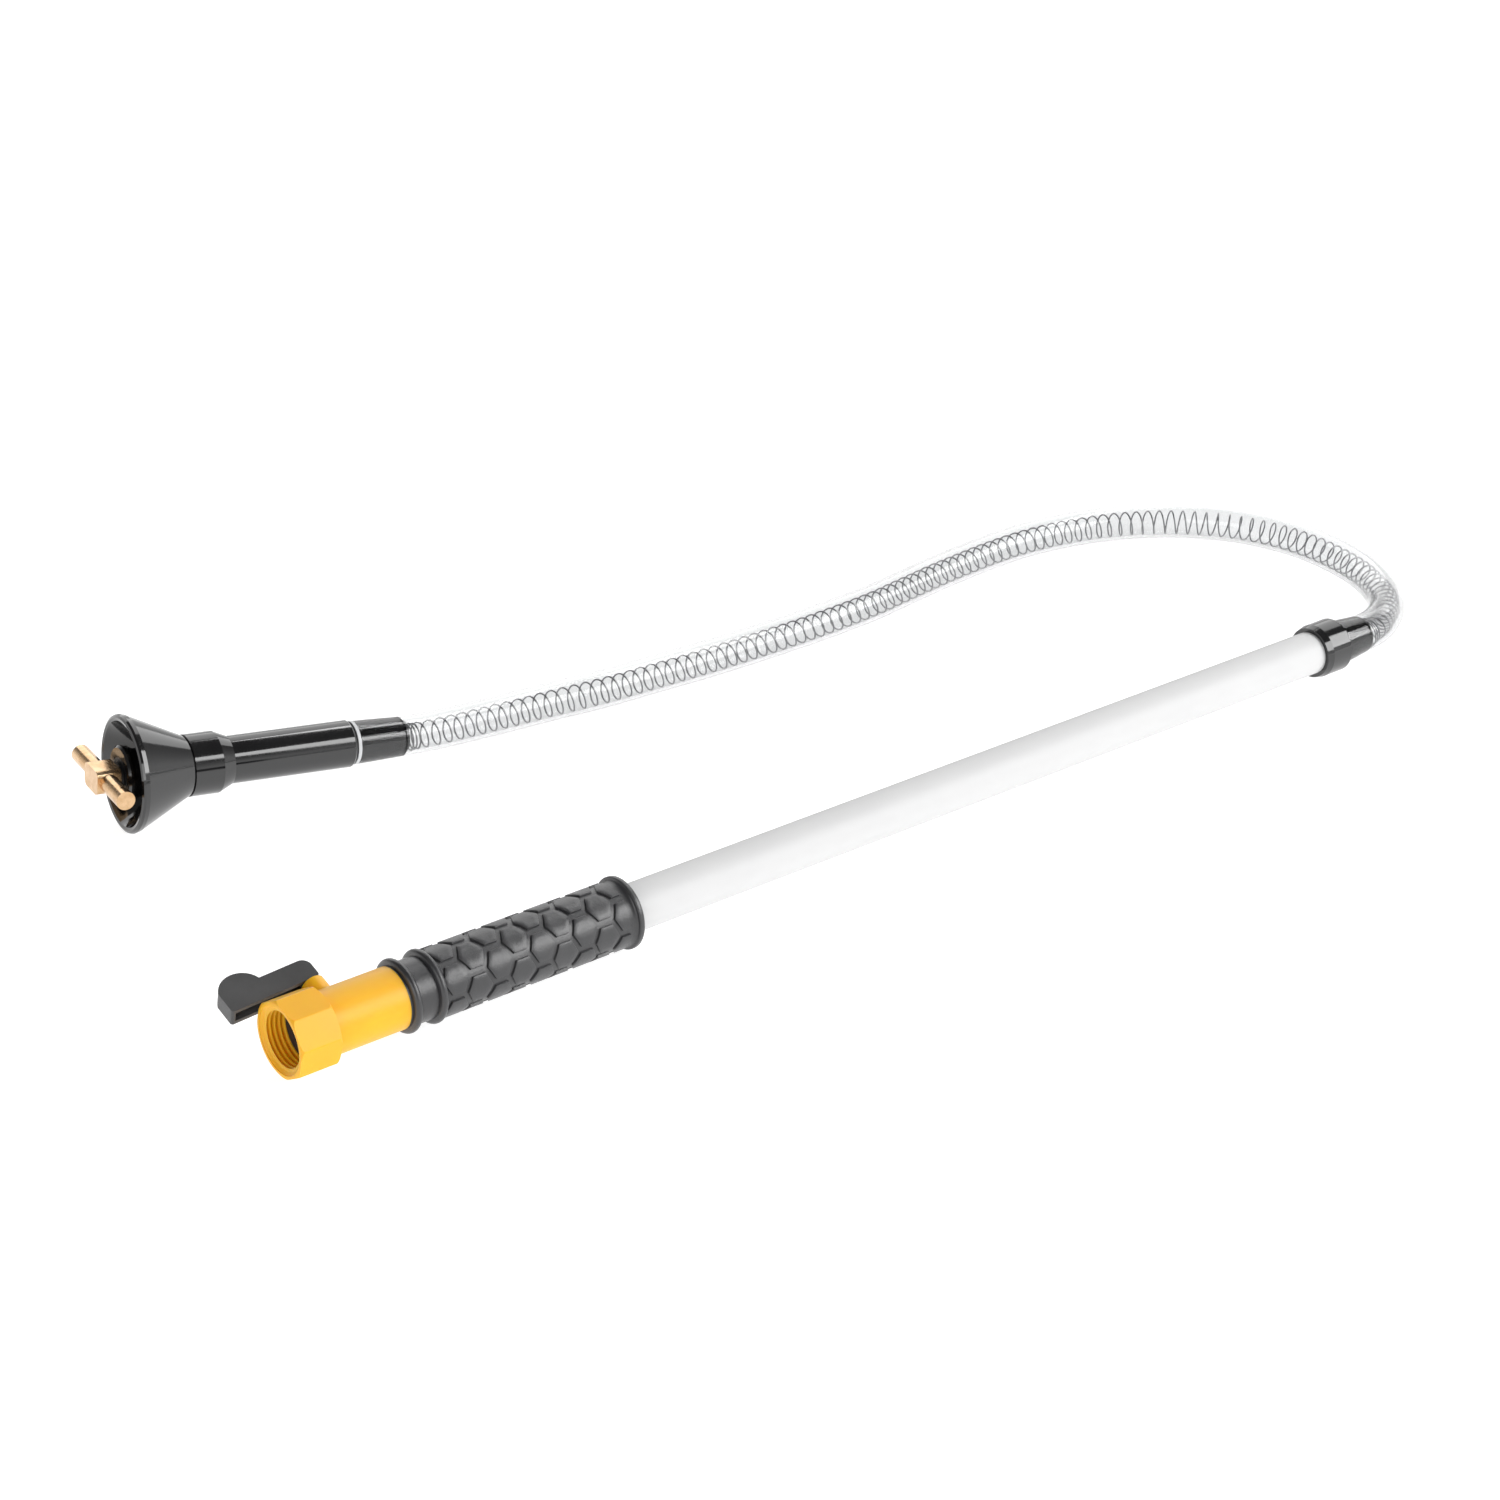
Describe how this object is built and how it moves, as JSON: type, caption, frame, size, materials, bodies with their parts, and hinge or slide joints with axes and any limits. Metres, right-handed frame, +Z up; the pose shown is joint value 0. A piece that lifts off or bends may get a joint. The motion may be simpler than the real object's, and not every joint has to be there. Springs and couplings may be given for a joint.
{
  "type": "wash-down wand",
  "caption": "Wash-down wand: hose inlet nut, shut-off valve, gripped rigid pole, clear flexible hose and a spinning cross-tube spray head in a splash cone.",
  "frame": {"origin": "centre of the wand's footprint on the floor it lies on, without the free hose", "axes": "+X along the pole from the inlet nut to the coupling, +Z up, the head on the +Y side of the pole"},
  "size_m": [0.7467, 0.2824, 0.0549],
  "materials": {
    "orange_plastic": "satin moulded plastic",
    "black_plastic": "fine matt moulded plastic",
    "grip_rubber": "matt rubber with raised hexagons",
    "white_pvc": "smooth extruded PVC",
    "black_pvc": "glossy moulded PVC",
    "clear_vinyl": "clear flexible vinyl",
    "spring_steel": "drawn wire",
    "brass": "machined, lightly brushed",
    "seal_rubber": "matt",
    "seat_plastic": "smooth",
    "bearing_plastic": "smooth",
    "stainless": "bright"
  },
  "bodies": {
    "wand": {"valve_body": "orange_plastic", "front_ball_seat": "seat_plastic", "rear_ball_seat": "seat_plastic", "seat_retainer": "bearing_plastic", "grip_sleeve": "grip_rubber", "pole_tube": "white_pvc", "pole_coupling": "black_pvc", "rear_hose_spigot": "black_pvc", "flexible_hose": "clear_vinyl", "hose_spring": "spring_steel", "front_hose_spigot": "black_pvc", "head_barrel": "black_pvc", "barrel_lock_collar": "black_pvc", "splash_cone": "black_pvc", "nozzle_bushing": "bearing_plastic", "spindle_o_ring": "seal_rubber"},
    "inlet_nut": {"swivel_nut": "orange_plastic", "hose_washer": "seal_rubber"},
    "valve_lever": {"lever_handle": "black_plastic", "valve_stem": "brass", "valve_ball": "brass", "stem_o_ring": "seal_rubber"},
    "spray_nozzle": {"nozzle_spindle": "brass", "nozzle_hub": "brass", "cross_tube": "brass", "tube_end_plugs": "brass", "spindle_clip": "stainless", "thrust_washer": "bearing_plastic"}
  },
  "joints": [
    {"name": "nut_swivel", "type": "hinge", "parent": "wand", "child": "inlet_nut", "pos_m": [-0.2993, -0.1231, 0.01731], "axis": [1, 0, 0], "continuous": true},
    {"name": "valve_turn", "type": "hinge", "parent": "wand", "child": "valve_lever", "pos_m": [-0.2878, -0.1231, 0.01731], "axis": [0, 0.9397, 0.342], "range_deg": [0, 90]},
    {"name": "nozzle_spin", "type": "hinge", "parent": "wand", "child": "spray_nozzle", "pos_m": [-0.2506, 0.1116, 0.0276], "axis": [0.9823, -0.1609, -0.0958], "continuous": true}
  ]
}
